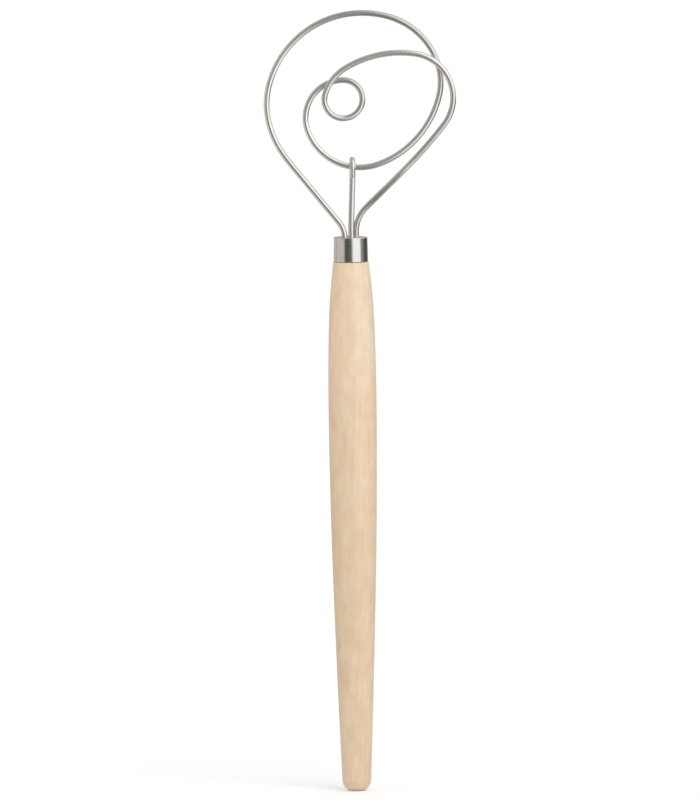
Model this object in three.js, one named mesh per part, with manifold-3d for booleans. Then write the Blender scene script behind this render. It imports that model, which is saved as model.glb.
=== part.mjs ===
// Dough whisk: a turned beech handle with a stainless ferrule, and a head of two bent stainless wires.
// Millimetres, +Z up along the handle. The origin is the centre of the butt's flat face. The loops of the
// head lie in the XZ plane, and the front of the whisk faces -Y.
import * as THREE from "three";
import { mergeVertices } from "three/addons/utils/BufferGeometryUtils.js";
import Module from "manifold-3d";

const wasm = await Module();
wasm.setup();

// Corners nearer than this are one corner
const weldDistance = 1e-4;

// Clearance between neighbouring pieces
const fit = 0.3;

// Wire stock: three strands enter the handle a little to the right of its axis, the right one partly behind
// the centre one, at this angle
const wireDiameter = 2.9;
const wireShift = 0.3;
const rightStrandAngle = 46;
const wireDepth = 30;
const wireSides = 12;
const ringSpacing = 2.6;

// Handle
const handleLength = 257.5;
const handleRadius = 11.69;
const buttRadius = 7.08;
const buttFlatRadius = 2;
const buttRoundLength = 6.5;
const buttSquareness = 2.4;
const shoulderStep = 0.4;
const shoulderEdge = 0.4;
const tenonEdge = 0.6;
const boreRadius = 6.2;
const boreTipAngle = 118;
const boreSpare = 2;
const handleSides = 48;

// Silhouette of the handle, as shares of its length and of its largest radius
const silhouetteShares = [
  [0.2, 0.749],
  [0.4, 0.891],
  [0.55, 0.964],
  [0.72, 1],
  [0.83, 0.978],
  [0.92, 0.909],
];

// Ferrule: a drawn cap that narrows a little towards its closed top
const ferruleLength = 11.8;
const ferruleRadius = 8.36;
const ferruleDraft = 0.2;
const ferruleWall = 0.5;
const ferruleEdge = 0.35;
const ferruleInnerEdge = 0.2;
const ferruleSides = 48;

// Head: the outer ring's size sets all of the loop wire's bends
const ringRadius = 44;
const leftBendRadius = 13.5;
const leftBendSink = 0.95;
const rightBendRadius = 16.7;
const shoulderHeading = 129;
const shoulderShare = -0.624;
const strandGap = 0.6;

// Bends of the loop wire, all to the right: the radius as a share of the ring's, the angle in degrees, and
// how far the wire lies behind (1) or in front of (-1) the head's middle plane when the bend ends.
const bendShares = [
  // left shoulder, the outer ring over the top, and down behind the right crossing
  [2.45, 4.5, 0],
  [0.98, 31, 0],
  [0.79, 16.5, 0],
  [1.06, 94.5, 0.3],
  [0.795, 56.5, 1],
  // inner loop: right side, bottom, left side, and behind the left crossing
  [0.645, 28.5, 1],
  [1.05, 58.5, -0.4],
  [0.61, 88.5, 0.8],
  [0.42, 110.5, 1],
  // curl
  [0.21, 288, -1],
  // upper arc, in front of both crossings
  [0.51, 41.5, -1],
  [1.18, 38.5, -1],
  // right bulge and right shoulder
  [0.49, 120, -1],
  [4.9, 7.5, -0.9],
];
const loopBottomBend = 7;
const legRuns = 3;

// Hook: the centre wire's top goes over the inner loop's bottom from behind and comes down in front
const hookX = 1.2;
const hookTurn = 192;
const hookTipLength = 4.3;
const hookSpring = 0.45;
const stemStraight = 2;

// Places that follow from the sizes
const wireRadius = wireDiameter / 2;
const wirePitch = wireDiameter + fit;
const strandStep = (wireDiameter + strandGap) / 2;
const rightStrandTurn = THREE.MathUtils.degToRad(rightStrandAngle);
const leftStrand = new THREE.Vector2(wireShift - wirePitch, 0);
const centreStrand = new THREE.Vector2(wireShift, 0);
const rightStrand = new THREE.Vector2(
  wireShift + wirePitch * Math.cos(rightStrandTurn),
  wirePitch * Math.sin(rightStrandTurn),
);
const ferruleBase = handleLength + fit;
const ferruleTop = ferruleBase + ferruleLength;
const tenonTop = ferruleTop - ferruleWall - fit;
const wireFoot = tenonTop - wireDepth;
const boreFoot = wireFoot - fit - boreSpare;
const boreTip = boreRadius / Math.tan(THREE.MathUtils.degToRad(boreTipAngle / 2));

// Points of a round edge about a centre, from one angle to another, in degrees
function edgePoints(x, y, radius, from, to, steps = 4) {
  const points = [];
  for (let i = 0; i <= steps; i++) {
    const angle = THREE.MathUtils.degToRad(from + ((to - from) * i) / steps);
    points.push(new THREE.Vector2(x + radius * Math.cos(angle), y + radius * Math.sin(angle)));
  }
  return points;
}

// The butt's rounding, a squared quarter of an ellipse from the flat end up to the silhouette
function buttPoints(steps = 10) {
  const points = [];
  for (let i = 0; i < steps; i++) {
    const angle = (Math.PI / 2) * (i / steps);
    const across = Math.sin(angle) ** (2 / buttSquareness);
    const up = 1 - Math.cos(angle) ** (2 / buttSquareness);
    points.push(
      new THREE.Vector2(buttFlatRadius + (buttRadius - buttFlatRadius) * across, buttRoundLength * up),
    );
  }
  return points;
}

// LatheGeometry turns a profile about Y, so the turned body is stood up along +Z
function turned(profile, sides) {
  const geometry = new THREE.LatheGeometry(profile, sides);
  geometry.rotateX(Math.PI / 2);
  return geometry;
}

// A closed geometry as a solid that can be cut
function toSolid(geometry) {
  const bare = geometry.clone();
  bare.deleteAttribute("normal");
  bare.deleteAttribute("uv");
  const merged = mergeVertices(bare, weldDistance);
  return new wasm.Manifold(
    new wasm.Mesh({
      numProp: 3,
      vertProperties: new Float32Array(merged.attributes.position.array),
      triVerts: new Uint32Array(merged.index.array),
    }),
  );
}

function toGeometry(solid) {
  const { vertProperties, triVerts } = solid.getMesh();
  const geometry = new THREE.BufferGeometry();
  geometry.setAttribute("position", new THREE.BufferAttribute(vertProperties, 3));
  geometry.setIndex(new THREE.BufferAttribute(triVerts, 1));
  geometry.computeVertexNormals();
  return geometry;
}

// Upright slot with round ends, bent at the centre strand, that all three strands pass through
function strandSlot(bottom, top) {
  const half = wireRadius + fit;
  const inward = Math.PI / 2 + rightStrandTurn / 2;
  const innerReach = half / Math.cos(rightStrandTurn / 2);
  const outline = [
    ...edgePoints(centreStrand.x, centreStrand.y, half, -90, rightStrandAngle - 90, 2),
    ...edgePoints(rightStrand.x, rightStrand.y, half, rightStrandAngle - 90, rightStrandAngle + 90, 8),
    new THREE.Vector2(Math.cos(inward), Math.sin(inward)).multiplyScalar(innerReach).add(centreStrand),
    ...edgePoints(leftStrand.x, leftStrand.y, half, 90, 270, 8),
  ];
  const geometry = new THREE.ExtrudeGeometry(new THREE.Shape(outline), {
    depth: top - bottom,
    bevelEnabled: false,
  });
  geometry.translate(0, 0, bottom);
  return toSolid(geometry);
}

// Where the ferrule's outer wall stands at a height, cut inwards by an inset
function ferruleWallAt(z, inset) {
  const share = (z - ferruleBase) / ferruleLength;
  return ferruleRadius - ferruleDraft * share - inset;
}

function makeHandle() {
  const tenonInset = ferruleWall + fit;
  const shoulderRadius = ferruleRadius + shoulderStep;
  const silhouette = new THREE.SplineCurve([
    new THREE.Vector2(buttRadius, buttRoundLength),
    ...silhouetteShares.map(([z, r]) => new THREE.Vector2(r * handleRadius, z * handleLength)),
    new THREE.Vector2(shoulderRadius, handleLength - shoulderEdge),
  ]);
  const profile = [
    new THREE.Vector2(0, 0),
    ...buttPoints(),
    ...silhouette.getPoints(28),
    new THREE.Vector2(shoulderRadius - shoulderEdge, handleLength),
    new THREE.Vector2(ferruleWallAt(handleLength, tenonInset), handleLength),
    new THREE.Vector2(ferruleWallAt(tenonTop - tenonEdge, tenonInset), tenonTop - tenonEdge),
    new THREE.Vector2(ferruleWallAt(tenonTop, tenonInset) - tenonEdge / 2, tenonTop),
    new THREE.Vector2(boreRadius, tenonTop),
    new THREE.Vector2(boreRadius, boreFoot),
    new THREE.Vector2(0, boreFoot - boreTip),
  ];
  return turned(profile, handleSides);
}

function makeFerrule() {
  const inset = ferruleWall + ferruleInnerEdge;
  const outerEdge = edgePoints(
    ferruleWallAt(ferruleTop, ferruleEdge),
    ferruleTop - ferruleEdge,
    ferruleEdge,
    0,
    90,
  );
  const innerEdge = edgePoints(ferruleWallAt(ferruleTop, inset), ferruleTop - inset, ferruleInnerEdge, 90, 0, 3);
  const profile = [
    new THREE.Vector2(ferruleWallAt(ferruleBase, 0), ferruleBase),
    ...outerEdge,
    new THREE.Vector2(0, ferruleTop),
    new THREE.Vector2(0, ferruleTop - ferruleWall),
    ...innerEdge,
    new THREE.Vector2(ferruleWallAt(ferruleBase, ferruleWall), ferruleBase),
    new THREE.Vector2(ferruleWallAt(ferruleBase, 0), ferruleBase),
  ];
  const cap = toSolid(turned(profile, ferruleSides));
  return toGeometry(cap.subtract(strandSlot(tenonTop, ferruleTop + ferruleWall)));
}

// The resin fills the bore around the strands and under their ends
function makeResin() {
  const radius = boreRadius - fit;
  const profile = [
    new THREE.Vector2(0, boreFoot - boreTip + fit),
    new THREE.Vector2(radius, boreFoot),
    new THREE.Vector2(radius, tenonTop),
    new THREE.Vector2(0, tenonTop),
  ];
  const plug = toSolid(turned(profile, handleSides));
  return toGeometry(plug.subtract(strandSlot(wireFoot - fit, tenonTop + fit)));
}

// Moves a place and heading in the XZ plane along a straight run or a bend. A positive turn is to the left.
function travel({ x, z, heading }, run, distance) {
  if (!run.turn) {
    return { x: x + distance * Math.cos(heading), z: z + distance * Math.sin(heading), heading };
  }
  const side = Math.sign(run.turn);
  const end = heading + (side * distance) / run.radius;
  return {
    x: x + side * run.radius * (Math.sin(end) - Math.sin(heading)),
    z: z - side * run.radius * (Math.cos(end) - Math.cos(heading)),
    heading: end,
  };
}

// The loop wire's centre line: runs in the XZ plane, each with its own change of depth along Y
class BentWire extends THREE.Curve {
  constructor(place) {
    super();
    this.end = place;
    this.depth = 0;
    this.total = 0;
    this.runs = [];
    this.arcLengthDivisions = 800;
  }

  add(run) {
    const length = run.turn ? run.radius * Math.abs(run.turn) : run.length;
    const depth = run.depth ?? this.depth;
    this.runs.push({ ...run, length, depth, fromDepth: this.depth, place: this.end, start: this.total });
    this.end = travel(this.end, run, length);
    this.depth = depth;
    this.total += length;
  }

  getPoint(t, target = new THREE.Vector3()) {
    const distance = t * this.total;
    const run = this.runs.findLast(({ start }) => start <= distance);
    const { x, z } = travel(run.place, run, distance - run.start);
    const eased = THREE.MathUtils.smoothstep(distance, run.start, run.start + run.length);
    return target.set(x, THREE.MathUtils.lerp(run.fromDepth, run.depth, eased), z);
  }
}

// Length of the slanting run from a leg's bend to a point of the head, when the leg is upright below it
function legRun(across, radius, turn) {
  return (across - radius * (1 - Math.cos(turn))) / Math.sin(turn);
}

function loopCurve() {
  const up = Math.PI / 2;
  const leftTurn = THREE.MathUtils.degToRad(shoulderHeading) - up;
  const curve = new BentWire({ x: leftStrand.x, z: wireFoot, heading: up });
  curve.add({ length: ferruleTop - leftBendSink - wireFoot });
  curve.add({ radius: leftBendRadius, turn: leftTurn });
  curve.add({ length: legRun(leftStrand.x - shoulderShare * ringRadius, leftBendRadius, leftTurn) });
  for (const [radiusShare, angle, depthShare] of bendShares) {
    curve.add({
      radius: radiusShare * ringRadius,
      turn: -THREE.MathUtils.degToRad(angle),
      depth: depthShare * strandStep,
    });
  }
  const rightTurn = THREE.MathUtils.euclideanModulo(-up - curve.end.heading, 2 * Math.PI);
  const rightRun = legRun(curve.end.x - rightStrand.x, rightBendRadius, rightTurn);
  curve.add({ length: rightRun, depth: rightStrand.y });
  curve.add({ radius: rightBendRadius, turn: rightTurn });
  curve.add({ length: curve.end.z - wireFoot });
  return curve;
}

// The place on the inner loop's bottom that the hook goes over
function hookedPlace(curve) {
  const run = curve.runs[legRuns + loopBottomBend];
  const steps = 60;
  let best = null;
  for (let i = 0; i <= steps; i++) {
    const point = curve.getPoint((run.start + (run.length * i) / steps) / curve.total);
    if (!best || Math.abs(point.x - hookX) < Math.abs(best.x - hookX)) best = point;
  }
  return best;
}

// The centre wire's line: upright in the handle, easing back to the hook, over the loop and down in front,
// with the tip turned back a little towards the stem
function hookCurve(hooked) {
  const hookRadius = wireDiameter + hookSpring;
  const stemTop = new THREE.Vector3(hookX, hooked.y + hookRadius, hooked.z);
  const leanFoot = ferruleTop + stemStraight;
  const stemSteps = 10;
  const hookSteps = 13;
  const points = [new THREE.Vector3(wireShift, 0, wireFoot), new THREE.Vector3(wireShift, 0, ferruleTop)];
  for (let i = 0; i <= stemSteps; i++) {
    const z = THREE.MathUtils.lerp(leanFoot, stemTop.z, i / stemSteps);
    const eased = THREE.MathUtils.smoothstep(z, leanFoot, stemTop.z);
    points.push(
      new THREE.Vector3(
        THREE.MathUtils.lerp(wireShift, stemTop.x, eased),
        THREE.MathUtils.lerp(0, stemTop.y, eased),
        z,
      ),
    );
  }
  const hookEnd = THREE.MathUtils.degToRad(hookTurn);
  for (let i = 1; i <= hookSteps; i++) {
    const angle = (hookEnd * i) / hookSteps;
    points.push(
      new THREE.Vector3(
        hookX,
        hooked.y + hookRadius * Math.cos(angle),
        hooked.z + hookRadius * Math.sin(angle),
      ),
    );
  }
  const tipRun = new THREE.Vector3(0, -Math.sin(hookEnd), Math.cos(hookEnd)).multiplyScalar(hookTipLength);
  points.push(points.at(-1).clone().add(tipRun));
  return points;
}

// Round section of the wire stock, whose corners reach the full diameter across the head and through it
function wireSection() {
  const corners = [];
  for (let i = 0; i < wireSides; i++) {
    const angle = (2 * Math.PI * i) / wireSides;
    corners.push(new THREE.Vector2(wireRadius * Math.cos(angle), wireRadius * Math.sin(angle)));
  }
  return new THREE.Shape(corners);
}

function wireAlong(path) {
  return new THREE.ExtrudeGeometry(wireSection(), {
    steps: Math.round(path.getLength() / ringSpacing),
    extrudePath: path,
    bevelEnabled: false,
  });
}

// Least gap between the surfaces of two wires, or of one wire and itself a few diameters further on
function leastGap(first, second) {
  const near = first === second ? Math.ceil((4 * wireDiameter) / (first.getLength() / 600)) : 0;
  const a = first.getSpacedPoints(600);
  const b = second.getSpacedPoints(600);
  let least = Infinity;
  a.forEach((point, i) => {
    b.forEach((other, j) => {
      if (first === second && j - i < near) return;
      least = Math.min(least, point.distanceTo(other));
    });
  });
  return least - wireDiameter;
}

const beech = new THREE.MeshStandardMaterial({ color: 0xe3cba8, roughness: 0.6, metalness: 0 });
const ferruleSteel = new THREE.MeshStandardMaterial({ color: 0xc9c8c5, roughness: 0.18, metalness: 1 });
const loopSteel = new THREE.MeshStandardMaterial({ color: 0xbfbdb9, roughness: 0.25, metalness: 1 });
const centreSteel = new THREE.MeshStandardMaterial({ color: 0xbcbab6, roughness: 0.25, metalness: 1 });
const amber = new THREE.MeshStandardMaterial({ color: 0xb9a06a, roughness: 0.4, metalness: 0 });

const whisk = new THREE.Group();

function addPiece(name, geometry, material) {
  const mesh = new THREE.Mesh(geometry, material);
  mesh.name = name;
  whisk.add(mesh);
}

const loop = loopCurve();
const centre = new THREE.CatmullRomCurve3(hookCurve(hookedPlace(loop)), false, "centripetal");
centre.arcLengthDivisions = 800;

console.log(`loop wire: least gap to itself ${leastGap(loop, loop).toFixed(2)} mm`);
console.log(`loop wire: least gap to the centre wire ${leastGap(loop, centre).toFixed(2)} mm`);

addPiece("handle", makeHandle(), beech);
addPiece("ferrule", makeFerrule(), ferruleSteel);
addPiece("loop_wire", wireAlong(loop), loopSteel);
addPiece("centre_wire", wireAlong(centre), centreSteel);
addPiece("resin", makeResin(), amber);

export default whisk;
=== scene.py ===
import math

import bpy
from mathutils import Matrix, Vector


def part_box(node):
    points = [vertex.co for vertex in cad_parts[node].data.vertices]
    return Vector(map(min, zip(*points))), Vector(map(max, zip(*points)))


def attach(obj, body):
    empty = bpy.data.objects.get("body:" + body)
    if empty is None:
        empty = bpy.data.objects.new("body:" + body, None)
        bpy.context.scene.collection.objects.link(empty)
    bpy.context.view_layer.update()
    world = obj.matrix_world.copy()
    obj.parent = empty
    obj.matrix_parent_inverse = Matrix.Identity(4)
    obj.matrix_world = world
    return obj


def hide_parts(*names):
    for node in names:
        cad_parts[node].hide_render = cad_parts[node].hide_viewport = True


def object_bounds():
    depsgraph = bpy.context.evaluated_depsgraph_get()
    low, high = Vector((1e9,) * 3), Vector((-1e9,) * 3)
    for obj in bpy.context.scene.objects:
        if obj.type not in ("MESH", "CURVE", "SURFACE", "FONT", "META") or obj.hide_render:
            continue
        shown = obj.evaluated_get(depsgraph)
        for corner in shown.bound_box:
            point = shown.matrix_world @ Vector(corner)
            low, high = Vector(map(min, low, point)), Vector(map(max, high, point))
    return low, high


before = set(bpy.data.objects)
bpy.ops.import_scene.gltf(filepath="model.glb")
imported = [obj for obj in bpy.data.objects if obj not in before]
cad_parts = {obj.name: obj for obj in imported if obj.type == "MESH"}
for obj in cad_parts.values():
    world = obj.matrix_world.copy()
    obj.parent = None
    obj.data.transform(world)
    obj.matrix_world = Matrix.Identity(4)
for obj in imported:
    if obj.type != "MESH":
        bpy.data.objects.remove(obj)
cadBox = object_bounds()
scene = bpy.context.scene
mm = 0.001
print("frame loaded:", ", ".join(sorted(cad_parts)))


# camera: from far off with a long lens, so the whisk is seen almost without perspective
view = {
    "lookAt": (-1.25 * mm, 0.0, 190.26 * mm),
    "elevation": 4.5,
    "roll": -0.643,  # the head leans a little to the left
    "distance": 14.0,
    "frameHeight": 388.35 * mm,
    "sensor": 36.0,
    "clip": (0.1, 40.0),
}


def addCamera():
    data = bpy.data.cameras.new("camera")
    data.sensor_width = view["sensor"]
    data.lens = view["sensor"] * view["distance"] / view["frameHeight"]
    data.clip_start, data.clip_end = view["clip"]
    camera = bpy.data.objects.new("camera", data)
    scene.collection.objects.link(camera)
    rise = math.radians(view["elevation"])
    back = Vector((0, -math.cos(rise), math.sin(rise)))
    camera.location = Vector(view["lookAt"]) + back * view["distance"]
    facing = back.to_track_quat("Z", "Y").to_matrix().to_4x4()
    camera.rotation_euler = (facing @ Matrix.Rotation(math.radians(view["roll"]), 4, "Z")).to_euler()
    scene.camera = camera


addCamera()
print("camera set")


# nodes: a value that is a socket gets linked, anything else is set on the socket
def addNode(tree, kind, values=None, **settings):
    node = tree.nodes.new(kind)
    for name, value in settings.items():
        setattr(node, name, value)
    for name, value in (values or {}).items():
        if isinstance(value, bpy.types.NodeSocket):
            tree.links.new(value, node.inputs[name])
        else:
            node.inputs[name].default_value = value
    return node


def newMaterial(name):
    material = bpy.data.materials.new(name)
    material.use_nodes = True
    material.node_tree.nodes.clear()
    return material, material.node_tree


def finishMaterial(tree, shader):
    addNode(tree, "ShaderNodeOutputMaterial", {"Surface": shader.outputs[0]})


def finishSurface(tree, colour, roughness, normal, finish):
    values = {"Base Color": colour, "Roughness": roughness, "Normal": normal, **finish}
    finishMaterial(tree, addNode(tree, "ShaderNodeBsdfPrincipled", values))


def mathNode(tree, operation, first, second=0.0, clamp=False):
    node = addNode(tree, "ShaderNodeMath", {0: first, 1: second}, operation=operation, use_clamp=clamp)
    return node.outputs[0]


def stretched(tree, vector, scale):
    node = addNode(tree, "ShaderNodeVectorMath", {0: vector, 1: scale}, operation="MULTIPLY")
    return node.outputs[0]


# layers of noise by name, each given as its stretch, scale, detail and roughness
def noiseLayers(tree, vector, layers):
    outputs = {}
    for name, (stretch, scale, detail, roughness) in layers.items():
        values = {"Vector": stretched(tree, vector, stretch), "Scale": scale, "Detail": detail}
        node = addNode(tree, "ShaderNodeTexNoise", {**values, "Roughness": roughness})
        outputs[name] = node.outputs["Fac"]
    return outputs


# two layers added up by their shares
def weighted(tree, layers, shares):
    parts = [mathNode(tree, "MULTIPLY", layers[name], share) for name, share in shares.items()]
    return mathNode(tree, "ADD", *parts)


# a span in a dictionary is these four numbers: a value between the first two gives one between the last two
def mapRange(tree, value, fromMin, fromMax, toMin, toMax, smooth=False):
    kind = "SMOOTHSTEP" if smooth else "LINEAR"
    values = {"Value": value, "From Min": fromMin, "From Max": fromMax, "To Min": toMin, "To Max": toMax}
    return addNode(tree, "ShaderNodeMapRange", values, interpolation_type=kind).outputs["Result"]


def toneRamp(tree, value, stops):
    node = addNode(tree, "ShaderNodeValToRGB", {"Fac": value})
    ramp = node.color_ramp
    ramp.interpolation = "EASE"
    while len(ramp.elements) > 1:
        ramp.elements.remove(ramp.elements[-1])
    for i, (position, tone) in enumerate(stops):
        stop = ramp.elements[0] if i == 0 else ramp.elements.new(position)
        stop.position = position
        stop.color = (tone, tone, tone, 1)
    return node.outputs["Color"]


def mixColour(tree, factor, first, second, blend="MIX"):
    values = {0: factor, 6: first, 7: second}
    return addNode(tree, "ShaderNodeMix", values, data_type="RGBA", blend_type=blend).outputs[2]


def bumpOn(tree, height, strength, depth):
    node = addNode(tree, "ShaderNodeBump", {"Strength": strength, "Distance": depth, "Height": height})
    return node.outputs[0]


# meshes: rings of points joined into one skin, where a ring of one point is a pole
def ringMesh(name, rings, closed=False):
    points, starts, faces = [], [], []
    for ring in rings:
        starts.append(len(points))
        points += [Vector(point) for point in ring]
    pairs = list(zip(range(len(rings) - 1), range(1, len(rings))))
    if closed:
        pairs.append((len(rings) - 1, 0))
    for a, b in pairs:
        countA, countB = len(rings[a]), len(rings[b])
        sides = max(countA, countB)
        for i in range(sides):
            j = (i + 1) % sides
            corners = [starts[a] + i % countA, starts[a] + j % countA]
            corners += [starts[b] + j % countB, starts[b] + i % countB]
            faces.append(list(dict.fromkeys(corners)))
    mesh = bpy.data.meshes.new(name)
    mesh.from_pydata(points, [], faces)
    mesh.validate()
    return mesh


def addPiece(name, mesh, material, node, crease=35):
    for polygon in mesh.polygons:
        polygon.use_smooth = True
    mesh.set_sharp_from_angle(angle=math.radians(crease))
    mesh.materials.clear()
    mesh.materials.append(material)
    piece = bpy.data.objects.new(name, mesh)
    scene.collection.objects.link(piece)
    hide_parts(node)
    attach(piece, "root")
    print(f"{name}: {sum(len(p.vertices) - 2 for p in mesh.polygons)} triangles")


def circle(radius, z, sides):
    if radius <= 0:
        return [(0.0, 0.0, z)]
    turns = [2 * math.pi * i / sides for i in range(sides)]
    return [(radius * math.cos(turn), radius * math.sin(turn), z) for turn in turns]


def arc(x, z, radius, start, end, steps):
    angles = [math.radians(start + (end - start) * i / steps) for i in range(steps + 1)]
    return [(x + radius * math.cos(angle), z + radius * math.sin(angle)) for angle in angles]


def ringsBetween(first, last, shares):
    return [[Vector(a).lerp(Vector(b), share) for a, b in zip(first, last)] for share in shares]


# beech: growth rings about a pith outside the handle, long fibres, ray flecks and soft clouds of tone
beech = {
    "pith": (24 * mm, 31 * mm, 0.0),
    "pithTilt": (0.022, -0.016, 0.0),
    "ringWidth": 2.6 * mm,
    "ringWander": 3.2 * mm,
    "ringTones": [(0.0, 0.62), (0.12, 0.9), (0.55, 0.8), (0.86, 0.42), (1.0, 0.6)],
    "layers": {
        "wander": ((1, 1, 0.22), 46, 2.5, 0.5),
        "fibres": ((1, 1, 0.03), 3400, 3, 0.6),
        "streaks": ((1, 1, 0.09), 480, 2, 0.5),
        "clouds": ((1, 1, 0.5), 210, 3, 0.55),
        "blushes": ((1, 1, 0.45), 330, 1.5, 0.5),
    },
    # what each makes of the tone, which part of a layer's range counts, and what is taken off the sum
    "ringShare": 0.38,
    "shares": {"fibres": 0.18, "streaks": 0.32, "clouds": 0.66},
    "layerRange": (0.25, 0.75),
    "toneCut": 0.23,
    "pale": (0.862, 0.688, 0.504, 1),
    "deep": (0.730, 0.540, 0.364, 1),
    # warmer patches
    "blush": (1.0, 0.952, 0.900, 1),
    "blushSpan": (0.40, 0.62, 0, 1),
    # ray flecks: short upright spindles, most of them left out
    "fleck": (0.560, 0.375, 0.235, 1),
    "fleckStretch": (1, 1, 0.085),
    "fleckScale": 950.0,
    "fleckSpan": (0.10, 0.24, 1, 0),
    "fleckChoice": (0.42, 0.62, 0, 1),
    "fleckShare": 0.30,
    # where along the handle the colour is deeper, as shares of its length, and the tint there
    "deeperAlong": [(0.0, 0.65), (0.12, 0.9), (0.28, 1.0), (0.45, 0.95), (0.63, 0.55), (0.85, 0.1), (1.0, 0.15)],
    "deeperAlongTint": (0.912, 0.896, 0.850, 1),
    # a painted sheen, paler and cooler, on the lit right side of the wood near the top: from where across,
    # from where along the handle, and the tint there
    "paintedSheenSpan": (-1 * mm, 5 * mm, 0, 1),
    "paintedSheen": [(0.0, 0.0), (0.74, 0.0), (0.88, 1.0), (1.0, 1.0)],
    "paintedSheenTint": (0.998, 1.036, 1.080, 1),
    # painted warm light, which makes the left side of the wood yellower
    "paintedWarmLightSpan": (-2 * mm, -9 * mm, 0, 1),
    "paintedWarmLightTint": (0.985, 0.958, 0.915, 1),
    "relief": {"fibres": 0.7, "flecks": -0.4},
    "bump": (0.35, 0.06 * mm),
    "roughnessByFibres": (0.2, 0.8, 0.50, 0.64),
    "finish": {"Coat Weight": 0.8, "Coat Roughness": 0.35, "Sheen Weight": 0.15, "Sheen Roughness": 0.4},
}


def beechMaterial():
    material, tree = newMaterial("beech")
    place = addNode(tree, "ShaderNodeTexCoord").outputs["Object"]
    fromPith = {"Vector": place, "Location": beech["pith"], "Rotation": beech["pithTilt"]}
    placed = addNode(tree, "ShaderNodeMapping", fromPith).outputs[0]
    layers = noiseLayers(tree, placed, beech["layers"])
    # growth rings
    level = stretched(tree, placed, (1, 1, 0))
    across = addNode(tree, "ShaderNodeVectorMath", {0: level}, operation="LENGTH").outputs["Value"]
    across = mathNode(tree, "ADD", across, mapRange(tree, layers["wander"], 0, 1, 0, beech["ringWander"]))
    year = mathNode(tree, "FRACT", mathNode(tree, "DIVIDE", across, beech["ringWidth"]))
    tone = mathNode(tree, "MULTIPLY", toneRamp(tree, year, beech["ringTones"]), beech["ringShare"])
    # fibres, streaks and clouds
    for name, share in beech["shares"].items():
        tone = mathNode(tree, "ADD", tone, mapRange(tree, layers[name], *beech["layerRange"], 0, share))
    tone = mathNode(tree, "SUBTRACT", tone, beech["toneCut"], clamp=True)
    colour = mixColour(tree, tone, beech["deep"], beech["pale"])
    blush = mapRange(tree, layers["blushes"], *beech["blushSpan"])
    colour = mixColour(tree, blush, colour, beech["blush"], blend="MULTIPLY")
    # ray flecks
    cellValues = {"Vector": stretched(tree, placed, beech["fleckStretch"]), "Scale": beech["fleckScale"]}
    cells = addNode(tree, "ShaderNodeTexVoronoi", cellValues).outputs
    spindle = mapRange(tree, cells["Distance"], *beech["fleckSpan"], smooth=True)
    chance = addNode(tree, "ShaderNodeSeparateColor", {0: cells["Color"]}).outputs[0]
    flecks = mathNode(tree, "MULTIPLY", spindle, mapRange(tree, chance, *beech["fleckChoice"]))
    colour = mixColour(tree, mathNode(tree, "MULTIPLY", flecks, beech["fleckShare"]), colour, beech["fleck"])
    # deeper colour along the handle, then painted light: a sheen on the right side near the top and warm
    # light on the left side
    axes = addNode(tree, "ShaderNodeSeparateXYZ", {0: place}).outputs
    height = mathNode(tree, "DIVIDE", axes[2], handle["length"])
    deeperAlong = toneRamp(tree, height, beech["deeperAlong"])
    # painted sheen: the lit right side near the top is made paler and cooler
    paintedSheen = mapRange(tree, axes[0], *beech["paintedSheenSpan"], smooth=True)
    paintedSheen = mathNode(tree, "MULTIPLY", paintedSheen, toneRamp(tree, height, beech["paintedSheen"]))
    # painted warm light: the left side is made yellower
    paintedWarmLight = mapRange(tree, axes[0], *beech["paintedWarmLightSpan"], smooth=True)
    for share, tint in ((deeperAlong, "deeperAlongTint"), (paintedSheen, "paintedSheenTint"), (paintedWarmLight, "paintedWarmLightTint")):
        colour = mixColour(tree, share, colour, beech[tint], blend="MULTIPLY")
    relief = weighted(tree, {**layers, "flecks": flecks}, beech["relief"])
    roughness = mapRange(tree, layers["fibres"], *beech["roughnessByFibres"])
    finishSurface(tree, colour, roughness, bumpOn(tree, relief, *beech["bump"]), beech["finish"])
    return material


# handle: turned on the lathe, from the flat of the butt up to the shoulder, the tenon and the bore
handle = {
    "length": 257.5 * mm,
    "radius": 11.69 * mm,
    # heights as shares of the length, and the radius there as a share of the widest
    "shares": [(0.2, 0.749), (0.4, 0.891), (0.55, 0.964), (0.72, 1.0), (0.83, 0.978), (0.92, 0.909)],
    "steps": 112,
    "sides": 144,
    "buttRadius": 7.08 * mm,
    "buttFlat": 2.0 * mm,
    "buttRound": 6.5 * mm,
    "buttSquareness": 2.4,
    "buttSteps": 20,
    "shoulderStep": 0.4 * mm,
    "shoulderEdge": 0.4 * mm,
    "shoulderArc": (12, 90, 6),  # first and last angle, and steps
    "tenonTop": 268.8 * mm,
    "tenonGap": 0.8 * mm,
    "tenonEdge": 0.6 * mm,
    "boreRadius": 6.2 * mm,
    "boreFoot": 236.5 * mm,
    "boreTip": 3.725 * mm,
}


# smooth line through points, each segment leaning on its two neighbours
def smoothLine(points, steps):
    line = []
    last = len(points) - 1
    for i in range(steps + 1):
        at = last * i / steps
        k = min(int(at), last - 1)
        t = at - k
        p0, p1, p2, p3 = points[max(k - 1, 0)], points[k], points[k + 1], points[min(k + 2, last)]
        place = []
        for a, b, c, d in zip(p0, p1, p2, p3):
            leave, arrive = (c - a) / 2, (d - b) / 2
            cubic, square = 2 * (b - c) + leave + arrive, 3 * (c - b) - 2 * leave - arrive
            place.append(((cubic * t + square) * t + leave) * t + b)
        line.append(tuple(place))
    return line


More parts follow.
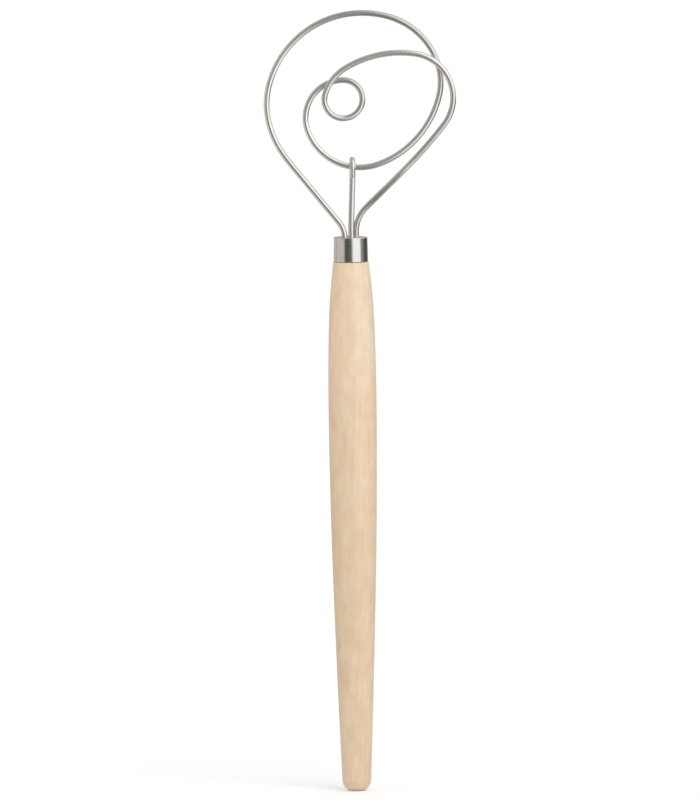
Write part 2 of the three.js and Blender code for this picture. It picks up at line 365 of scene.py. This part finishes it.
def addHandle(material):
    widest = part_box("handle")[1].y
    buttFlat, buttRound, buttSteps = handle["buttFlat"], handle["buttRound"], handle["buttSteps"]
    power = 2 / handle["buttSquareness"]
    profile = [(0.0, 0.0), (buttFlat / 2, 0.0)]
    for i in range(buttSteps):
        turn = math.pi / 2 * i / buttSteps
        radius = buttFlat + (handle["buttRadius"] - buttFlat) * math.sin(turn) ** power
        profile.append((radius, buttRound * (1 - math.cos(turn) ** power)))
    top, edge = handle["length"], handle["shoulderEdge"]
    shoulder = ferrule["radius"] + handle["shoulderStep"]
    knots = [(handle["buttRadius"], buttRound)]
    knots += [(share * handle["radius"], place * top) for place, share in handle["shares"]]
    knots.append((shoulder, top - edge))
    profile += [(min(radius, widest), z) for radius, z in smoothLine(knots, handle["steps"])]
    profile += arc(shoulder - edge, top - edge, edge, *handle["shoulderArc"])
    tenonTop, tenonEdge, tenonGap = handle["tenonTop"], handle["tenonEdge"], handle["tenonGap"]
    profile += [
        (ferruleWallAt(top, tenonGap), top),
        (ferruleWallAt(tenonTop - tenonEdge, tenonGap), tenonTop - tenonEdge),
        (ferruleWallAt(tenonTop, tenonGap) - tenonEdge / 2, tenonTop),
        (handle["boreRadius"], tenonTop),
        (handle["boreRadius"], handle["boreFoot"]),
        (0.0, handle["boreFoot"] - handle["boreTip"]),
    ]
    rings = [circle(radius, z, handle["sides"]) for radius, z in profile]
    addPiece("turned_handle", ringMesh("turned_handle", rings), material, "handle")


# ferrule steel: a polished cap, buffed round and round, with soft smears and a few marks
capSteel = {
    "bright": (0.750, 0.741, 0.722, 1),
    "dull": (0.655, 0.645, 0.628, 1),
    "layers": {
        "buffing": ((30, 30, 5200), 1, 3, 0.65),
        "smears": ((1, 1, 1), 240, 3, 0.6),
        "marks": ((260, 260, 2600), 1, 2, 0.5),
    },
    "dullBySmears": (0.40, 0.75, 0, 0.6),
    "roughnessByBuffing": (0.3, 0.7, 0.04, 0.13),
    "roughnessByMarks": (0.56, 0.74, 0, 0.08),
    "bump": (0.20, 0.005 * mm),
    "finish": {"Metallic": 1.0},
}


def capMaterial():
    material, tree = newMaterial("polishedCap")
    place = addNode(tree, "ShaderNodeTexCoord").outputs["Object"]
    layers = noiseLayers(tree, place, capSteel["layers"])
    dull = mapRange(tree, layers["smears"], *capSteel["dullBySmears"], smooth=True)
    colour = mixColour(tree, dull, capSteel["bright"], capSteel["dull"])
    roughness = mapRange(tree, layers["buffing"], *capSteel["roughnessByBuffing"])
    marked = mapRange(tree, layers["marks"], *capSteel["roughnessByMarks"])
    roughness = mathNode(tree, "ADD", roughness, marked)
    normal = bumpOn(tree, layers["buffing"], *capSteel["bump"])
    finishSurface(tree, colour, roughness, normal, capSteel["finish"])
    return material


# the three strands in the ferrule: the loop's left one, the centre one, and the loop's right one, which is
# turned back by an angle and so stands partly behind the centre one
strands = {"shift": 0.3 * mm, "pitch": 3.2 * mm, "rightAngle": 46}

# ferrule: a drawn cap, round from the rim up to the closed top, with a slot in it
ferrule = {
    "base": 257.8 * mm,
    "length": 11.8 * mm,
    "radius": 8.36 * mm,
    "draft": 0.2 * mm,
    "wall": 0.5 * mm,
    "rim": 0.14 * mm,
    "edge": 0.35 * mm,
    "innerEdge": 0.2 * mm,
    "lip": 0.16 * mm,
    "slotHalf": 1.75 * mm,
    # first and last angle of each rounding, and its steps
    "rimArc": (-90, 0, 4),
    "edgeArc": (0, 90, 12),
    "innerArc": (80, 0, 6),
    "lipSteps": 5,
    # how close a ring of the straight wall lies to each rounding, to keep that rounding's shading off it
    "hold": 0.04 * mm,
    # rings across the top and across its underside
    "topShares": (0.25, 0.5, 0.75),
    "underShares": (0.5, 1.0),
    "sides": 160,
}


def ferruleWallAt(z, inset):
    return ferrule["radius"] - ferrule["draft"] * (z - ferrule["base"]) / ferrule["length"] - inset


# outline of the bent slot, pushed outwards by an amount: one round-ended arm to each outer strand
def slotOutline(grow, z, sides):
    half, pitch = ferrule["slotHalf"] + grow, strands["pitch"]
    points = []
    for i in range(sides):
        turn = 2 * math.pi * i / sides
        reach = half
        for arm in (math.pi, math.radians(strands["rightAngle"])):
            c, s = math.cos(turn - arm), abs(math.sin(turn - arm))
            if half * c > pitch * s:
                reach = max(reach, pitch * c + math.sqrt(half * half - (pitch * s) ** 2))
            elif c > 0:
                reach = max(reach, half / s)
        points.append((strands["shift"] + reach * math.cos(turn), reach * math.sin(turn), z))
    return points


def addFerrule(material):
    base, sides, hold = ferrule["base"], ferrule["sides"], ferrule["hold"]
    wall, edge, rim, lip = ferrule["wall"], ferrule["edge"], ferrule["rim"], ferrule["lip"]
    top = base + ferrule["length"]
    # outside, from the rim up
    wallFoot, wallTop = base + rim, top - edge
    edgeX = ferruleWallAt(wallTop, edge)
    outer = arc(ferruleWallAt(wallFoot, rim), wallFoot, rim, *ferrule["rimArc"])
    for z in (wallFoot + hold, (wallFoot + wallTop) / 2, wallTop - hold):
        outer.append((ferruleWallAt(z, 0), z))
    outer += arc(edgeX, wallTop, edge, *ferrule["edgeArc"])
    rings = [circle(radius, z, sides) for radius, z in outer]
    # across the top to the slot's rounded lip, and down the slot
    rings += ringsBetween(circle(edgeX, top, sides), slotOutline(lip, top, sides), ferrule["topShares"])
    for i in range(ferrule["lipSteps"] + 1):
        angle = math.pi / 2 * i / ferrule["lipSteps"]
        rings.append(slotOutline(lip * (1 - math.sin(angle)), top - lip * (1 - math.cos(angle)), sides))
    under = top - wall
    slotRing = slotOutline(0, under, sides)
    rings.append(slotRing)
    # inside, from under the top down to the rim again
    inset = wall + ferrule["innerEdge"]
    innerX = ferruleWallAt(top, inset)
    rings += ringsBetween(slotRing, circle(innerX, under, sides), ferrule["underShares"])
    inner = arc(innerX, top - inset, ferrule["innerEdge"], *ferrule["innerArc"])
    inner += [(ferruleWallAt(wallFoot, wall), wallFoot), (ferruleWallAt(base, wall - rim), base)]
    rings += [circle(radius, z, sides) for radius, z in inner]
    mesh = ringMesh("drawn_ferrule", rings, closed=True)
    addPiece("drawn_ferrule", mesh, material, "ferrule")


# wire steel: bright and drawn, with its die lines, and with painted light and shade along its length, which
# its polish follows
wireSteel = {
    "bright": (0.900, 0.890, 0.870, 1),
    "dull": (0.600, 0.585, 0.560, 1),
    # stretched along the straight wire, and across it twice
    "layers": {
        "dieLines": ((22, 2600, 2600), 1, 3, 0.6),
        "fineLines": ((60, 9000, 9000), 1, 2, 0.6),
        "handling": ((70, 260, 260), 1, 3, 0.6),
        "scuffs": ((900, 1500, 1500), 1, 2, 0.6),
    },
    # places as shares of a length of wire in metres, and the painted light and shade there, lighter along the
    # ring's left and darker over its top
    "length": 0.61,
    "paintedLightAndPolish": [
        (0.0, 0.45), (0.10, 0.6), (0.20, 1.0), (0.31, 0.0), (0.42, 0.5), (0.54, 0.85), (0.61, 0.3),
        (0.74, 0.8), (0.84, 0.4), (0.86, 0.35), (0.885, 1.0), (0.895, 0.9), (0.91, 0.2),
    ],
    "polishByHandling": (0.30, 0.75, 0.16, -0.16),
    "lines": {"dieLines": 0.6, "fineLines": 0.4},
    "roughnessByLines": (0.3, 0.7, 0.16, 0.28),
    "roughnessByScuffs": (0.55, 0.8, 0, 0.05),
    "roughnessByPaintedLightAndPolish": (0, 1, 0.05, 0),
    "bump": (0.20, 0.004 * mm),
    "finish": {"Metallic": 1.0},
}


def wireMaterial():
    material, tree = newMaterial("drawnWire")
    along = addNode(tree, "ShaderNodeAttribute", attribute_name="straight").outputs["Vector"]
    layers = noiseLayers(tree, along, wireSteel["layers"])
    reached = addNode(tree, "ShaderNodeSeparateXYZ", {0: along}).outputs[0]
    # painted light and shade along the wire, with random handling marks on top; the roughness follows it
    paintedLightAndPolish = toneRamp(tree, mathNode(tree, "DIVIDE", reached, wireSteel["length"]), wireSteel["paintedLightAndPolish"])
    handled = mapRange(tree, layers["handling"], *wireSteel["polishByHandling"])
    paintedLightAndPolish = mathNode(tree, "ADD", paintedLightAndPolish, handled, clamp=True)
    colour = mixColour(tree, paintedLightAndPolish, wireSteel["dull"], wireSteel["bright"])
    lines = weighted(tree, layers, wireSteel["lines"])
    roughness = mapRange(tree, lines, *wireSteel["roughnessByLines"])
    for cause, span in ((layers["scuffs"], "roughnessByScuffs"), (paintedLightAndPolish, "roughnessByPaintedLightAndPolish")):
        roughness = mathNode(tree, "ADD", roughness, mapRange(tree, cause, *wireSteel[span]))
    finishSurface(tree, colour, roughness, bumpOn(tree, lines, *wireSteel["bump"]), wireSteel["finish"])
    return material


# both wires: a round section, from inside the bore up through the slot's mouth
wire = {
    "radius": 1.44 * mm,
    "sides": 28,
    "foot": 238.8 * mm,
    "mouth": 269.6 * mm,
    # the cut ends are rounded off over this length, down to this share of the radius
    "endRound": 0.45 * mm,
    "endFlat": 0.55,
    "endShares": (0.04, 0.14, 0.3, 0.52, 0.76, 1.0),
    "crease": 50,
}

# loop wire: bent from straights and arcs, with its depth eased in and out of each arc
loop = {
    "ring": 44 * mm,
    "leftBend": 13.5 * mm,
    "leftSink": 0.95 * mm,
    "leftHeading": 129,
    "leftReach": -0.624,
    "rightBend": 16.7 * mm,
    "depthStep": 1.75 * mm,
    # radius as a share of the ring's, turn in degrees to the right, depth in steps at the bend's end
    "bends": [
        (2.45, 4.5, 0), (0.98, 31, 0), (0.79, 16.5, 0), (1.06, 94.5, 0.3), (0.795, 56.5, 1),
        (0.645, 28.5, 1), (1.05, 58.5, -0.4), (0.61, 88.5, 0.8), (0.42, 110.5, 1),
        (0.21, 288, -1),
        (0.51, 41.5, -1), (1.18, 38.5, -1),
        (0.49, 120, -1), (4.9, 7.5, -0.9),
    ],
    # distances between points: on arcs also no more than some degrees
    "straightStep": 1.6 * mm,
    "arcStep": 1.2 * mm,
    "arcStepTurn": 4,
    "fewestSteps": 3,
}

# centre wire: a stem with a hook over one of the loop's runs
hook = {
    "run": 10,
    "x": 1.2 * mm,
    "radius": 3.35 * mm,
    "turn": 192,
    "tip": 4.3 * mm,
    "stemStraight": 2 * mm,
    # on the straight stem, its lean, the hook and the tip
    "steps": (8, 30, 34, 4),
}


def travel(place, radius, turn, distance):
    x, z, heading = place
    if not turn:
        return x + distance * math.cos(heading), z + distance * math.sin(heading), heading
    side = math.copysign(1, turn)
    end = heading + side * distance / radius
    x += side * radius * (math.sin(end) - math.sin(heading))
    z -= side * radius * (math.cos(end) - math.cos(heading))
    return x, z, end


def eased(t):
    return t * t * (3 - 2 * t)


# how long a slanting leg is, to come out at a distance across after its bend
def legRun(across, radius, turn):
    return (across - radius * (1 - math.cos(turn))) / math.sin(turn)


# the loop's runs, each a list of points, so that the hook can find the one it goes over
def loopRuns():
    up, back = math.pi / 2, math.radians(strands["rightAngle"])
    left = strands["shift"] - strands["pitch"]
    right = strands["shift"] + strands["pitch"] * math.cos(back)
    state = {"place": (left, wire["foot"], up), "depth": 0.0}
    runs = []

    def run(length, radius=0.0, turn=0.0, depth=None):
        before = state["depth"]
        after = before if depth is None else depth
        arcStep = min(loop["arcStep"], radius * math.radians(loop["arcStepTurn"]))
        steps = max(loop["fewestSteps"], math.ceil(length / (arcStep if turn else loop["straightStep"])))
        points = []
        for i in range(steps + 1):
            x, z = travel(state["place"], radius, turn, length * i / steps)[:2]
            points.append(Vector((x, before + (after - before) * eased(i / steps), z)))
        runs.append(points)
        state["place"] = travel(state["place"], radius, turn, length)
        state["depth"] = after

    bend, turn = loop["leftBend"], math.radians(loop["leftHeading"]) - up
    run(wire["mouth"] - loop["leftSink"] - wire["foot"])
    run(bend * turn, bend, turn)
    run(legRun(left - loop["leftReach"] * loop["ring"], bend, turn))
    for share, degrees, depth in loop["bends"]:
        radius, turn = share * loop["ring"], math.radians(degrees)
        run(radius * turn, radius, -turn, depth * loop["depthStep"])
    x, heading = state["place"][0], state["place"][2]
    bend, turn = loop["rightBend"], (-up - heading) % (2 * math.pi)
    run(legRun(x - right, bend, turn), depth=strands["pitch"] * math.sin(back))
    run(bend * turn, bend, turn)
    run(state["place"][1] - wire["foot"])
    return runs


# the stem leans back from the slot, goes over the inner loop from behind and comes down in front of it
def hookLine(hooked):
    foot, leanFoot = wire["foot"], wire["mouth"] + hook["stemStraight"]
    shift, radius, hookTurn = strands["shift"], hook["radius"], math.radians(hook["turn"])
    stemSteps, leanSteps, hookSteps, tipSteps = hook["steps"]
    top = Vector((hook["x"], hooked.y + radius, hooked.z))
    points = [Vector((shift, 0, foot + (leanFoot - foot) * i / stemSteps)) for i in range(stemSteps)]
    for i in range(leanSteps + 1):
        lean = eased(i / leanSteps)
        z = leanFoot + (top.z - leanFoot) * i / leanSteps
        points.append(Vector((shift + (top.x - shift) * lean, top.y * lean, z)))
    for i in range(1, hookSteps + 1):
        turn = hookTurn * i / hookSteps
        points.append(Vector((top.x, hooked.y + radius * math.cos(turn), hooked.z + radius * math.sin(turn))))
    tip, onward = points[-1], Vector((0, -math.sin(hookTurn), math.cos(hookTurn)))
    points += [tip + onward * hook["tip"] * i / tipSteps for i in range(1, tipSteps + 1)]
    return points


# extra points close to both ends, where the cut ends are rounded off
def withRoundedEnds(points):
    line = list(points)
    for back in (False, True):
        end, following = (line[-1], line[-2]) if back else (line[0], line[1])
        toward = (following - end).normalized()
        extra = [end + toward * wire["endRound"] * share for share in wire["endShares"]]
        line = line[:-1] + extra[::-1] + [end] if back else [end] + extra + line[1:]
    return line


def bentWireTree():
    tree = bpy.data.node_groups.new("bentWire", "GeometryNodeTree")
    inputs = {}
    for name, kind in (
        ("Line", "NodeSocketGeometry"),
        ("Wire Radius", "NodeSocketFloat"),
        ("Sides", "NodeSocketInt"),
        ("End Rounding", "NodeSocketFloat"),
        ("End Flat Share", "NodeSocketFloat"),
        ("Finish", "NodeSocketMaterial"),
    ):
        inputs[name] = tree.interface.new_socket(name, in_out="INPUT", socket_type=kind).identifier
    tree.interface.new_socket("Wire", in_out="OUTPUT", socket_type="NodeSocketGeometry")
    given = addNode(tree, "NodeGroupInput").outputs
    path = addNode(tree, "GeometryNodeMeshToCurve", {"Mesh": given["Line"]})
    # how far each point lies from the nearer end, and the radius that a rounded end has there
    reached = addNode(tree, "GeometryNodeSplineParameter").outputs["Length"]
    whole = addNode(tree, "GeometryNodeSplineLength").outputs["Length"]
    fromEnd = mathNode(tree, "MINIMUM", reached, mathNode(tree, "SUBTRACT", whole, reached))
    inward = mathNode(tree, "DIVIDE", fromEnd, given["End Rounding"], clamp=True)
    left = mathNode(tree, "SUBTRACT", 1.0, inward)
    bulge = mathNode(tree, "SQRT", mathNode(tree, "SUBTRACT", 1.0, mathNode(tree, "MULTIPLY", left, left)))
    fill = mathNode(tree, "MULTIPLY", mathNode(tree, "SUBTRACT", 1.0, given["End Flat Share"]), bulge)
    scale = mathNode(tree, "ADD", given["End Flat Share"], fill)
    # the section swept along the line
    sectionValues = {"Resolution": given["Sides"], "Radius": given["Wire Radius"]}
    section = addNode(tree, "GeometryNodeCurvePrimitiveCircle", sectionValues)
    keepPath = addNode(tree, "GeometryNodeCaptureAttribute", {"Geometry": path.outputs[0]})
    keepPath.capture_items.new("FLOAT", "Along")
    tree.links.new(reached, keepPath.inputs["Along"])
    keepSection = addNode(tree, "GeometryNodeCaptureAttribute", {"Geometry": section.outputs["Curve"]})
    keepSection.capture_items.new("VECTOR", "Across")
    tree.links.new(addNode(tree, "GeometryNodeInputPosition").outputs[0], keepSection.inputs["Across"])
    sweptValues = {"Curve": keepPath.outputs[0], "Profile Curve": keepSection.outputs[0]}
    swept = addNode(tree, "GeometryNodeCurveToMesh", {**sweptValues, "Scale": scale, "Fill Caps": True})
    # where each point of the skin lies in the straight wire, for the material
    along = keepPath.outputs["Along"]
    across = addNode(tree, "ShaderNodeSeparateXYZ", {0: keepSection.outputs["Across"]}).outputs
    straight = addNode(tree, "ShaderNodeCombineXYZ", {0: along, 1: across[0], 2: across[1]})
    storedValues = {"Geometry": swept.outputs[0], "Name": "straight"}
    stored = addNode(tree, "GeometryNodeStoreNamedAttribute", storedValues, data_type="FLOAT_VECTOR")
    tree.links.new(straight.outputs[0], stored.inputs["Value"])
    realized = addNode(tree, "GeometryNodeRealizeInstances", {"Geometry": stored.outputs[0]})
    finishedValues = {"Geometry": realized.outputs[0], "Material": given["Finish"]}
    finished = addNode(tree, "GeometryNodeSetMaterial", finishedValues)
    addNode(tree, "NodeGroupOutput", {"Wire": finished.outputs[0]})
    return tree, inputs


def bentWireMesh(name, line, tree, inputs, material):
    mesh = bpy.data.meshes.new(name + "_line")
    mesh.from_pydata(line, [(i, i + 1) for i in range(len(line) - 1)], [])
    carrier = bpy.data.objects.new(name + "_line", mesh)
    scene.collection.objects.link(carrier)
    modifier = carrier.modifiers.new("bentWire", "NODES")
    modifier.node_group = tree
    for socket, value in (
        ("Wire Radius", wire["radius"]),
        ("Sides", wire["sides"]),
        ("End Rounding", wire["endRound"]),
        ("End Flat Share", wire["endFlat"]),
        ("Finish", material),
    ):
        modifier[inputs[socket]] = value
    evaluated = carrier.evaluated_get(bpy.context.evaluated_depsgraph_get())
    swept = bpy.data.meshes.new_from_object(evaluated)
    swept.name = name
    carrier.modifiers.remove(modifier)
    bpy.data.objects.remove(carrier)
    return swept


# the solid wire has fewer sides, so the round one is trimmed by some hundredths of a millimetre where it
# would reach past
def keepInside(mesh, box):
    for vertex in mesh.vertices:
        vertex.co = [min(max(at, low), high) for at, low, high in zip(vertex.co, *box)]


def addWires(material):
    tree, inputs = bentWireTree()
    runs = loopRuns()
    loopLine = runs[0] + [point for run in runs[1:] for point in run[1:]]
    hooked = min(runs[hook["run"]], key=lambda point: abs(point.x - hook["x"]))
    for name, line, node in (
        ("bent_loop_wire", loopLine, "loop_wire"),
        ("hooked_centre_wire", hookLine(hooked), "centre_wire"),
    ):
        mesh = bentWireMesh(name, withRoundedEnds(line), tree, inputs, material)
        keepInside(mesh, cadBox)
        addPiece(name, mesh, material, node, crease=wire["crease"])


# resin: amber and glossy, seen only down the slot between the strands
resin = {
    "clear": (0.72, 0.55, 0.29, 1),
    "cloudy": (0.60, 0.43, 0.22, 1),
    "layers": {"clouds": ((1, 1, 1), 420, 3, 0.5)},
    "cloudySpan": (0.35, 0.7, 0, 1),
    "roughnessByClouds": (0.3, 0.7, 0.16, 0.32),
    "beadScale": 1400.0,
    "beadSpan": (0, 0.3, 1, 0),
    "bump": (0.4, 0.08 * mm),
    "finish": {"Coat Weight": 0.3},
}


def resinMaterial():
    material, tree = newMaterial("setResin")
    place = addNode(tree, "ShaderNodeTexCoord").outputs["Object"]
    clouds = noiseLayers(tree, place, resin["layers"])["clouds"]
    colour = mixColour(tree, mapRange(tree, clouds, *resin["cloudySpan"]), resin["clear"], resin["cloudy"])
    roughness = mapRange(tree, clouds, *resin["roughnessByClouds"])
    cells = addNode(tree, "ShaderNodeTexVoronoi", {"Vector": place, "Scale": resin["beadScale"]}).outputs
    beads = mapRange(tree, cells["Distance"], *resin["beadSpan"], smooth=True)
    finishSurface(tree, colour, roughness, bumpOn(tree, beads, *resin["bump"]), resin["finish"])
    return material


addHandle(beechMaterial())
addFerrule(capMaterial())
addWires(wireMaterial())
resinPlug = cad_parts["resin"]
resinPlug.data.materials.clear()
resinPlug.data.materials.append(resinMaterial())
print("pieces dressed")


# studio: a white sweep, soft even light, and a tent with cards in it that only mirror rays see
studio = {
    "around": 0.86,
    "keyStrength": 1.0,
    "keyAngle": 40,
    "keyFrom": (28, 38),  # azimuth from the camera's side and rightwards, and elevation
    "floorAlbedo": 0.78,
    "floorGlow": 0.2,
    "floorReach": 9.0,
    "floorDrop": 0.1 * mm,
}

tent = {
    "radius": 0.9,
    "centre": 332 * mm,
    "skirt": 3 * mm,
    "bands": 24,
    "sides": 72,
    "plain": (0.62, 0.605, 0.58),
    # azimuth from the camera's side and rightwards, elevation, softness of the edges across and up, all in
    # degrees; then the tone
    "cards": {
        "leftWall": ((-116, -50), (-100, 14), (16, 16), (0.74, 0.70, 0.65)),
        "aboveCamera": ((-78, 12), (-14, 100), (18, 16), (0.36, 0.35, 0.335)),
        "floorInFront": ((-46, 24), (-100, -14), (16, 14), (0.26, 0.25, 0.235)),
        "floorOnTheRight": ((24, 130), (-100, -48), (18, 18), (0.34, 0.335, 0.33)),
        "lowLeftWall": ((-146, -45), (-20, -4.6), (24, 1.2), (0.68, 0.62, 0.57)),
        "lowLeftPost": ((-126, -113), (-20, -4.6), (10, 1.2), (0.47, 0.465, 0.45)),
        "lowFront": ((-14, 24), (-20, -4.6), (14, 1.2), (0.185, 0.18, 0.17)),
        "cameraFlag": ((-42, -8), (-20, -4.6), (16, 1.2), (0.099, 0.091, 0.076)),
        "lowRightWall": ((60, 150), (-24, -4.6), (16, 1.2), (0.285, 0.28, 0.27)),
        "softboxTop": ((20, 106), (6, 100), (20, 20), (1.28, 1.26, 1.25)),
        "softbox": ((10.5, 68.5), (-30, 20), (20, 16), (1.17, 1.15, 1.14)),
        "rightFlag": ((97, 140), (-24, -4.6), (40, 1.2), (0.066, 0.062, 0.06)),
        "rearLeftFlag": ((-180, -152), (-50, 40), (12, 12), (0.25, 0.25, 0.245)),
    },
}


# a dome with a flat floor, open to everything but mirror rays
def addTent():
    bands, centre = tent["bands"], tent["centre"]
    rings = []
    for i in range(bands + 1):
        elevation = math.radians(-90 + 180 * i / bands)
        reach = tent["radius"] * math.cos(elevation)
        z = max(centre + tent["radius"] * math.sin(elevation), tent["skirt"])
        rings.append(circle(reach if 0 < i < bands else 0, z, tent["sides"]))
    mesh = ringMesh("tent", rings)
    mesh.materials.append(tentMaterial())
    dome = bpy.data.objects.new("tent", mesh)
    scene.collection.objects.link(dome)
    dome.visible_camera = False
    dome.visible_diffuse = False
    dome.visible_transmission = False
    dome.visible_shadow = False


# a card's share at an angle: full where the angle is well inside the card's span, none outside
def cardSpan(tree, angle, span, softness, wrap):
    middle, half = (span[0] + span[1]) / 2, (span[1] - span[0]) / 2
    away = mathNode(tree, "SUBTRACT", angle, middle)
    if wrap:
        away = addNode(tree, "ShaderNodeMath", {0: away, 1: 180.0, 2: -180.0}, operation="WRAP").outputs[0]
    away = mathNode(tree, "ABSOLUTE", away)
    return mapRange(tree, away, half - softness / 2, half + softness / 2, 1, 0, smooth=True)


def tentMaterial():
    material, tree = newMaterial("tent")
    place = addNode(tree, "ShaderNodeTexCoord").outputs["Object"]
    lowering = {0: place, 1: (0, 0, -tent["centre"])}
    lowered = addNode(tree, "ShaderNodeVectorMath", lowering, operation="ADD").outputs[0]
    direction = addNode(tree, "ShaderNodeVectorMath", {0: lowered}, operation="NORMALIZE").outputs[0]
    axes = addNode(tree, "ShaderNodeSeparateXYZ", {0: direction}).outputs
    azimuth = mathNode(tree, "ARCTAN2", axes[0], mathNode(tree, "MULTIPLY", axes[1], -1.0))
    azimuth = mathNode(tree, "DEGREES", azimuth)
    elevation = mathNode(tree, "DEGREES", mathNode(tree, "ARCSINE", axes[2]))
    colour = (*tent["plain"], 1)
    for sides, heights, (softAcross, softUp), tone in tent["cards"].values():
        across = cardSpan(tree, azimuth, sides, softAcross, True)
        upright = cardSpan(tree, elevation, heights, softUp, False)
        shown = mathNode(tree, "MULTIPLY", across, upright)
        colour = mixColour(tree, shown, colour, (*tone, 1))
    finishMaterial(tree, addNode(tree, "ShaderNodeEmission", {"Color": colour}))
    material.cycles.emission_sampling = "NONE"
    return material


# one for camera and mirror rays, which see the sweep as plain white, and none for diffuse ones
def whiteForViewers(tree):
    path = addNode(tree, "ShaderNodeLightPath").outputs
    return mathNode(tree, "MAXIMUM", path["Is Camera Ray"], path["Is Glossy Ray"])


def addFloor():
    reach, z, albedo = studio["floorReach"], -studio["floorDrop"], studio["floorAlbedo"]
    mesh = bpy.data.meshes.new("floor")
    corners = [(-reach, -reach, z), (reach, -reach, z), (reach, reach, z), (-reach, reach, z)]
    mesh.from_pydata(corners, [], [(0, 1, 2, 3)])
    material, tree = newMaterial("whiteSweep")
    lit = addNode(tree, "ShaderNodeBsdfDiffuse", {"Color": (albedo, albedo, albedo, 1)})
    strength = mathNode(tree, "MULTIPLY", whiteForViewers(tree), studio["floorGlow"])
    glow = addNode(tree, "ShaderNodeEmission", {"Strength": strength})
    finishMaterial(tree, addNode(tree, "ShaderNodeAddShader", {0: lit.outputs[0], 1: glow.outputs[0]}))
    material.cycles.emission_sampling = "NONE"
    mesh.materials.append(material)
    floor = bpy.data.objects.new("floor", mesh)
    scene.collection.objects.link(floor)


def addKeyLight():
    data = bpy.data.lights.new("key", "SUN")
    data.energy = studio["keyStrength"]
    data.angle = math.radians(studio["keyAngle"])
    key = bpy.data.objects.new("key", data)
    scene.collection.objects.link(key)
    azimuth, elevation = (math.radians(angle) for angle in studio["keyFrom"])
    level = math.cos(elevation)
    toward = Vector((math.sin(azimuth) * level, -math.cos(azimuth) * level, math.sin(elevation)))
    key.rotation_euler = toward.to_track_quat("Z", "Y").to_euler()
    key.visible_glossy = False


def addWorld():
    world = bpy.data.worlds.new("studio")
    world.use_nodes = True
    tree = world.node_tree
    tree.nodes.clear()
    strength = mapRange(tree, whiteForViewers(tree), 0, 1, studio["around"], 1.0)
    background = addNode(tree, "ShaderNodeBackground", {"Color": (1, 1, 1, 1), "Strength": strength})
    addNode(tree, "ShaderNodeOutputWorld", {"Surface": background.outputs[0]})
    scene.world = world


addFloor()
addTent()
addKeyLight()
addWorld()
scene.view_settings.view_transform = "Standard"
print("studio lit")
